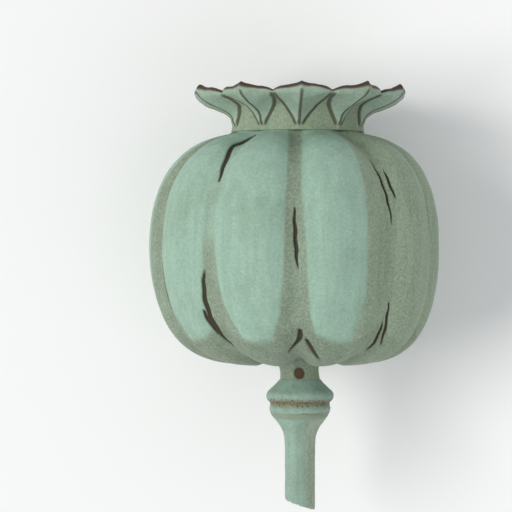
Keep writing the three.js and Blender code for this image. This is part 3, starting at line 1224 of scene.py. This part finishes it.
class Wiring:
    """Short ways to add and join nodes in one tree."""

    def __init__(self, tree):
        self.tree = tree

    def node(self, kind, **settings):
        """Adds a node with these settings."""
        made = self.tree.nodes.new(kind)
        for name, value in settings.items():
            setattr(made, name, value)
        return made

    def join(self, start, end):
        self.tree.links.new(start, end)

    def feed(self, target, value):
        """Gives a socket either a link or a plain number or colour."""
        if isinstance(value, bpy.types.NodeSocket):
            self.join(value, target)
        else:
            target.default_value = value

    def place(self):
        """Where on the object a colour is asked for."""
        return self.node("ShaderNodeTexCoord").outputs["Object"]

    def mask(self, name, share=1.0):
        """Reads a mask that was dyed on the mesh, at full strength or a share of it."""
        value = self.node("ShaderNodeAttribute", attribute_name=name).outputs["Fac"]
        return value if share == 1.0 else self.math("MULTIPLY", value, share)

    def math(self, operation, first, second=0.0, third=0.0, clamp=False):
        made = self.node("ShaderNodeMath", operation=operation, use_clamp=clamp)
        for index, number in enumerate((first, second, third)):
            self.feed(made.inputs[index], number)
        return made.outputs[0]

    def span(self, value, low, high, to_low=0.0, to_high=1.0):
        """Maps a value from one range to another, smoothly, and clamps it."""
        made = self.node("ShaderNodeMapRange", interpolation_type="SMOOTHSTEP")
        for index, number in enumerate((value, low, high, to_low, to_high)):
            self.feed(made.inputs[index], number)
        return made.outputs[0]

    def mix(self, share, first, second):
        """Goes from the first colour to the second."""
        made = self.node("ShaderNodeMix", data_type="RGBA")
        self.feed(made.inputs[0], share)
        self.feed(made.inputs[6], first)
        self.feed(made.inputs[7], second)
        return made.outputs[2]

    def dim(self, color, tone):
        """Makes a colour darker or lighter."""
        made = self.node("ShaderNodeVectorMath", operation="SCALE")
        self.join(color, made.inputs[0])
        self.feed(made.inputs["Scale"], tone)
        return made.outputs[0]

    def noise(self, place, scale, detail, roughness=0.5):
        made = self.node("ShaderNodeTexNoise")
        self.join(place, made.inputs["Vector"])
        made.inputs["Scale"].default_value = scale
        made.inputs["Detail"].default_value = detail
        made.inputs["Roughness"].default_value = roughness
        return made.outputs["Fac"]

    def stretched(self, place, factors):
        """Stretches what is read at these places, along the axes whose factor is small."""
        made = self.node("ShaderNodeMapping")
        self.join(place, made.inputs["Vector"])
        made.inputs["Scale"].default_value = factors
        return made.outputs["Vector"]


print("a middle green is", [round(v, 3) for v in srgb(141, 167, 151)[:3]])

# %% [markdown]
# ## The waxy skin
# A poppy head is blue-green under a pale waxy bloom, which is thick on the ribs, gone in the furrows, and
# rubbed off in patches. Where the bloom is thin, a second colour shows through. Shade is also painted into
# the colour: the furrows' colour carries some, and one more mask mixes in a shade colour of its own. The head
# also has a fine grain like paper, stronger and warmer in the furrows and the painted shade, and faint
# streaks along it. Every piece shows this skin in its own colours, so it is a node group, and each material
# gives it the colours and masks.

# %% Node group for the skin
WARM_GRAIN = srgb(154, 156, 138)
# How fine each noise is: the worn patches, the streaks before they are stretched, the specks and the grain
PATCHES, STREAKS, SPECKS, GRAIN = 110, 700, 900, 2600
# The last two inputs are a mask and a colour for painted shade.
SKIN_INPUTS = {
    "Bloom": (0.35, 0.5, 0.42, 1),
    "Bare": (0.2, 0.3, 0.22, 1),
    "Shade": (0.2, 0.26, 0.19, 1),
    "Furrow": 0.0,
    "Wear": 0.5,
    "PaintedShade": 0.0,
    "PaintedShadeColor": (0.26, 0.34, 0.23, 1),
}
SKIN_OUTPUTS = {"Color": "NodeSocketColor", "Roughness": "NodeSocketFloat", "Height": "NodeSocketFloat"}

skin_group = bpy.data.node_groups.new("waxy_skin", "ShaderNodeTree")
for name, value in SKIN_INPUTS.items():
    kind = "NodeSocketFloat" if isinstance(value, float) else "NodeSocketColor"
    skin_group.interface.new_socket(name=name, in_out="INPUT", socket_type=kind).default_value = value
for name, kind in SKIN_OUTPUTS.items():
    skin_group.interface.new_socket(name=name, in_out="OUTPUT", socket_type=kind)
w = Wiring(skin_group)
given = w.node("NodeGroupInput")
result = w.node("NodeGroupOutput")
place = w.place()
patches = w.noise(place, PATCHES, 4, 0.6)
grain = w.noise(place, GRAIN, 2, 0.6)
speck = w.noise(place, SPECKS, 2, 0.7)
streaks = w.noise(w.stretched(place, (1, 0.07, 1)), STREAKS, 3, 0.6)
worn = w.math("MULTIPLY", w.span(patches, 0.5, 0.68), given.outputs["Wear"])
skin_color = w.mix(worn, given.outputs["Bloom"], given.outputs["Bare"])
in_furrow = w.math("ADD", given.outputs["Furrow"], w.span(patches, 0.3, 0.7, -0.12, 0.12), clamp=True)
skin_color = w.mix(in_furrow, skin_color, given.outputs["Shade"])
# Painted shade: a mask mixes in a shade colour of its own.
skin_color = w.mix(given.outputs["PaintedShade"], skin_color, given.outputs["PaintedShadeColor"])
streak_tone = w.span(streaks, 0.3, 0.7, 0.93, 1.07)
in_shade = w.math("MAXIMUM", in_furrow, given.outputs["PaintedShade"])
skin_color = w.mix(w.math("MULTIPLY", in_shade, w.span(grain, 0.52, 0.75, 0.0, 0.5)), skin_color, WARM_GRAIN)
grain_swing = w.math("MULTIPLY_ADD", in_shade, 0.1, third=0.09)
grain_tone = w.math("MULTIPLY_ADD", w.span(grain, 0.25, 0.75, -1.0, 1.0), grain_swing, third=1.0)
speck_tone = w.span(speck, 0.6, 0.78, 1.0, 0.86)
tone = w.math("MULTIPLY", w.math("MULTIPLY", streak_tone, grain_tone), speck_tone)
w.join(w.dim(skin_color, tone), result.inputs["Color"])
w.join(w.span(worn, 0.0, 1.0, 0.66, 0.5), result.inputs["Roughness"])
bumps = w.math("ADD", w.math("MULTIPLY", grain, 0.35), w.math("MULTIPLY", streaks, 0.5))
w.join(bumps, result.inputs["Height"])
print("the skin group has", len(skin_group.nodes), "nodes")

# %% [markdown]
# ## A material of this skin
# Each material takes the skin's colours, and the names of the masks that were dyed on the mesh. The grain is
# also a fine relief, and a faint sheen stands for the wax.

# %% Skin material
RELIEF = 0.4 * MM
SHEEN = 0.06
DARK_LINE = srgb(62, 58, 44)


def skin_material(name, bloom, bare, shade, furrow=None, under=None, wear=0.5, bump=0.12):
    """A material of the waxy skin. Returns it with its wiring, its shader and its colour so far."""
    paint = bpy.data.materials.new(name)
    paint.use_nodes = True
    wiring = Wiring(paint.node_tree)
    shader = paint.node_tree.nodes["Principled BSDF"]
    skin = wiring.node("ShaderNodeGroup")
    skin.node_tree = skin_group
    skin.inputs["Bloom"].default_value = bloom
    skin.inputs["Bare"].default_value = bare
    skin.inputs["Shade"].default_value = shade
    skin.inputs["Wear"].default_value = wear
    if furrow:
        wiring.join(wiring.mask(furrow), skin.inputs["Furrow"])
    # under: a mask, its share and a colour, which paint shade into the skin
    if under:
        mask, share, painted_shade_color = under
        wiring.join(wiring.mask(mask, share), skin.inputs["PaintedShade"])
        skin.inputs["PaintedShadeColor"].default_value = painted_shade_color
    relief = wiring.node("ShaderNodeBump")
    relief.inputs["Strength"].default_value = bump
    relief.inputs["Distance"].default_value = RELIEF
    wiring.join(skin.outputs["Height"], relief.inputs["Height"])
    wiring.join(relief.outputs["Normal"], shader.inputs["Normal"])
    wiring.join(skin.outputs["Roughness"], shader.inputs["Roughness"])
    shader.inputs["Specular IOR Level"].default_value = 0.25
    shader.inputs["Sheen Weight"].default_value = SHEEN
    shader.inputs["Sheen Roughness"].default_value = 0.5
    return paint, wiring, shader, skin.outputs["Color"]


def wear_material(piece, paint, w, shader, color):
    """Joins the colour to its shader and gives the piece this one material."""
    w.join(color, shader.inputs["Base Color"])
    piece.data.materials.clear()
    piece.data.materials.append(paint)
    print(paint.name, "has", len(paint.node_tree.nodes), "nodes")

# %% [markdown]
# ## The pod's material
# The pod is palest on its ribs and grey-green in its furrows and on its base, which is a little darker. The
# furrows' grey-green is partly thinner bloom and partly painted shade, the base is painted shade, and the
# right side is painted shade too. The creases are all but black, and the spot on the foot is dark with a
# red-brown core.

# %% Pod skin
SPOT_EDGE = srgb(70, 58, 42)
SPOT_CORE = srgb(88, 55, 42)
BASE_SHADE_TONE = 0.86

paint, w, shader, color = skin_material(
    "pod_skin",
    bloom=srgb(150, 179, 161),
    bare=srgb(132, 162, 141),
    shade=srgb(131, 147, 126),
    furrow="furrow_tint",
    # painted shade on the head's right side, in a shade colour of its own
    under=("side_shade_tint", 0.92, srgb(141, 158, 133)),
    wear=0.35,
)
# Painted shade: the base is darkened further.
color = w.dim(color, w.span(w.mask("base_shade_tint"), 0.0, 1.0, 1.0, BASE_SHADE_TONE))
color = w.mix(w.span(w.mask("crease_tint"), 0.1, 0.7), color, DARK_LINE)
spot = w.mask("spot_tint")
color = w.mix(w.span(spot, 0.05, 0.35), color, SPOT_EDGE)
color = w.mix(w.span(spot, 0.45, 0.8), color, SPOT_CORE)
wear_material(pod, paint, w, shader, color)

# %% [markdown]
# ## The crown's material
# The crown is duller than the pod, with painted shade in grey-green on the neck between the lobes, brown
# lines and a brown rim. On top, its disc gets greener towards the middle, and fine veins run out slantwise
# from each ray, like the barbs of a feather, and fade away to the side. They are stripes of one value: the
# way out along the ray, less the way across.

# %% Crown skin
VEIN_SPACING = 1.4  # mm
VEIN_WOBBLE = 1.6
WOBBLE = 260  # how fine the noise is that the veins wobble by
VEIN_SLANT = 1.9  # how much further in a vein starts than it ends, for each mm to the side
VEIN_REACH = (1.2, 3.6)  # the veins fade at this distance from the ray, mm
MIDDLE_REACH = (2.0, 12.0)  # and the greener middle ends here
DISC_GREEN = srgb(128, 140, 108)
VEIN_GREEN = srgb(108, 128, 102)
KEEL_BROWN = srgb(72, 68, 50)
RIM_BROWN = srgb(72, 54, 40)

paint, w, shader, color = skin_material(
    "crown_skin",
    bloom=srgb(154, 174, 156),
    bare=srgb(135, 152, 132),
    shade=srgb(112, 128, 106),
    # painted shade on the neck between the lobes
    under=("neck_shade_tint", 0.7, srgb(134, 148, 120)),
    wear=0.6,
    bump=0.2,
)
out, across, disc = (w.mask(name) for name in ("vein_out", "vein_across", "disc_tint"))
wobble = w.noise(w.place(), WOBBLE, 2)
step = w.math("SUBTRACT", out, w.math("MULTIPLY", across, VEIN_SLANT))
step = w.math("ADD", w.math("DIVIDE", step, VEIN_SPACING), w.math("MULTIPLY", wobble, VEIN_WOBBLE))
from_vein = w.math("ABSOLUTE", w.math("SUBTRACT", w.math("FRACT", step), 0.5))
vein = w.math("MULTIPLY", w.span(from_vein, 0.02, 0.16, 1.0, 0.0), disc)
vein = w.math("MULTIPLY", vein, w.span(across, *VEIN_REACH, 0.55, 0.0))
middle = w.math("MULTIPLY", w.span(out, *MIDDLE_REACH, 0.6, 0.0), disc)
color = w.mix(middle, color, DISC_GREEN)
color = w.mix(vein, color, VEIN_GREEN)
color = w.mix(w.span(w.mask("keel_tint"), 0.1, 0.9, 0.0, 0.85), color, KEEL_BROWN)
color = w.mix(w.span(w.mask("rim_tint"), 0.3, 0.8), color, RIM_BROWN)
wear_material(crown, paint, w, shader, color)

# %% [markdown]
# ## The rays' material
# The rays are olive velvet, darker in the groove along each, with a strong soft sheen.

# %% Ray velvet
VELVET_SHEEN = 0.5

paint, w, shader, color = skin_material(
    "ray_velvet",
    bloom=srgb(150, 148, 112),
    bare=srgb(118, 110, 80),
    shade=srgb(96, 88, 62),
    furrow="keel_tint",
    wear=0.8,
    bump=0.5,
)
shader.inputs["Sheen Weight"].default_value = VELVET_SHEEN
wear_material(rays, paint, w, shader, color)

# %% [markdown]
# ## The stalk's material
# The stalk is like the pod, with brown scars in its groove, painted shade on its right side and a painted
# shadow under the lower ring. The cut shows pale pith with a fibrous grain, a brownish hollow in its middle
# and a ring of greener strand ends.

# %% Stalk skin
UNDER_RING_SHADOW = srgb(130, 143, 122)
FIBRES = 4200
PITH_DARK = srgb(190, 196, 150)
PITH_PALE = srgb(216, 218, 182)
HOLLOW_BROWN = srgb(138, 132, 92)
STRAND_GREEN = srgb(132, 140, 92)

paint, w, shader, color = skin_material(
    "stalk_skin",
    bloom=srgb(141, 167, 151),
    bare=srgb(126, 150, 130),
    shade=srgb(112, 104, 76),
    furrow="scar_tint",
    # painted shade on the stalk's right side
    under=("side_shade_tint", 0.9, srgb(154, 168, 148)),
    bump=0.2,
)
color = w.mix(w.span(w.mask("crease_tint"), 0.2, 0.9), color, DARK_LINE)
# Painted shadow under the lower ring.
color = w.mix(w.mask("under_ring_shadow_tint", 0.8), color, UNDER_RING_SHADOW)
fibre = w.noise(w.place(), FIBRES, 3, 0.7)
pith_color = w.mix(w.span(fibre, 0.35, 0.65), PITH_DARK, PITH_PALE)
pith_color = w.mix(w.mask("hollow_tint", 0.75), pith_color, HOLLOW_BROWN)
pith_color = w.mix(w.mask("strand_tint", 0.7), pith_color, STRAND_GREEN)
color = w.mix(w.mask("cut_tint"), color, pith_color)
wear_material(stem, paint, w, shader, color)
